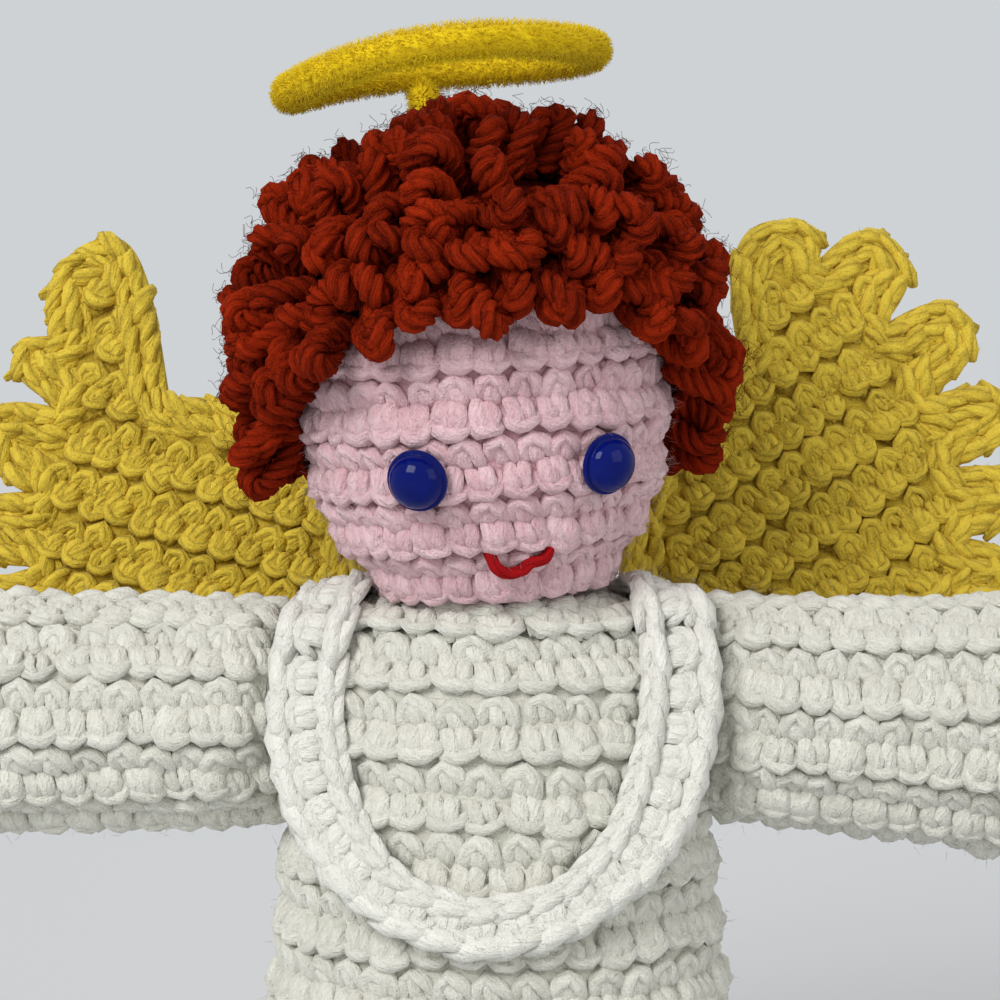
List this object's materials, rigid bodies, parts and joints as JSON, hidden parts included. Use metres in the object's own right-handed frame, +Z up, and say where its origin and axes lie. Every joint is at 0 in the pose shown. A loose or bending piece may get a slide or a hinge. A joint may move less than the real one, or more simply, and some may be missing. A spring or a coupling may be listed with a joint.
{
  "type": "crochet angel doll",
  "caption": "Stuffed crochet angel doll with looped yarn hair, domed eyes, a chenille halo, a draped stole, open arms and lobed wings, standing on a flat gown base.",
  "frame": {"origin": "centre of the flat underside of the gown's base, where the doll stands", "axes": "+Z up towards the halo, -Y the way the doll's body faces, +X towards the doll's own left hand"},
  "size_m": [0.2375, 0.1018, 0.2487],
  "materials": {
    "white_yarn": "crocheted off-white yarn",
    "pink_yarn": "crocheted pale pink yarn",
    "gold_yarn": "crocheted mustard gold yarn",
    "rust_yarn": "looped plied rust-red yarn",
    "red_thread": "embroidery thread",
    "yellow_chenille": "short dense chenille pile on wire",
    "fibre_filling": "loose polyester fibre",
    "blue_plastic": "polished moulded plastic",
    "washer_plastic": "natural moulded plastic",
    "stiff_plastic": "plain plastic sheet"
  },
  "bodies": {
    "gown": {"gown_cover": "white_yarn", "gown_base": "white_yarn", "base_stiffener": "stiff_plastic", "gown_stuffing": "fibre_filling", "stole": "white_yarn"},
    "neck": {"neck_seam": "pink_yarn"},
    "head": {"head_cover": "pink_yarn", "head_stuffing": "fibre_filling", "left_eye": "blue_plastic", "right_eye": "blue_plastic", "left_eye_washer": "washer_plastic", "right_eye_washer": "washer_plastic", "mouth_yarn": "red_thread", "hair_crown": "rust_yarn", "hair_row_1": "rust_yarn", "hair_row_2": "rust_yarn", "hair_row_3": "rust_yarn", "hair_row_4": "rust_yarn", "hair_row_5": "rust_yarn", "halo_stem": "yellow_chenille"},
    "halo": {"halo_ring": "yellow_chenille"},
    "left_arm": {"left_sleeve": "white_yarn", "left_hand": "pink_yarn", "left_arm_stuffing": "fibre_filling"},
    "left_wing": {"left_wing": "gold_yarn"},
    "right_arm": {"right_sleeve": "white_yarn", "right_hand": "pink_yarn", "right_arm_stuffing": "fibre_filling"},
    "right_wing": {"right_wing": "gold_yarn"}
  },
  "joints": [
    {"name": "neck_turn", "type": "hinge", "parent": "gown", "child": "neck", "pos_m": [0, 0, 0.15075], "axis": [0, 0, 1], "range_deg": [-30, 30], "stiffness_Nm_per_rad": 0.06},
    {"name": "head_nod", "type": "hinge", "parent": "neck", "child": "head", "pos_m": [0, 0, 0.15075], "axis": [0.9877, 0.1564, 0], "range_deg": [-4, 12], "stiffness_Nm_per_rad": 0.25, "deforming": ["neck_seam"]},
    {"name": "halo_bend", "type": "hinge", "parent": "head", "child": "halo", "pos_m": [-0.01282, 0.02133, 0.234], "axis": [0.9849, 0.156, 0.075], "range_deg": [-25, 8]},
    {"name": "left_shoulder", "type": "hinge", "parent": "gown", "child": "left_arm", "pos_m": [0.05481, 0, 0.131], "axis": [0, -1, 0], "range_deg": [-35, 35], "stiffness_Nm_per_rad": 0.08},
    {"name": "right_shoulder", "type": "hinge", "parent": "gown", "child": "right_arm", "pos_m": [-0.05481, 0, 0.131], "axis": [0, 1, 0], "range_deg": [-35, 35], "stiffness_Nm_per_rad": 0.08},
    {"name": "left_wing_flap", "type": "hinge", "parent": "gown", "child": "left_wing", "pos_m": [0.019, 0.0238, 0.1265], "axis": [0.1, 0.2799, 0.9548], "range_deg": [0, 45], "stiffness_Nm_per_rad": 0.02},
    {"name": "right_wing_flap", "type": "hinge", "parent": "gown", "child": "right_wing", "pos_m": [-0.019, 0.0238, 0.1265], "axis": [0.1, -0.2799, -0.9548], "range_deg": [0, 45], "stiffness_Nm_per_rad": 0.02}
  ]
}
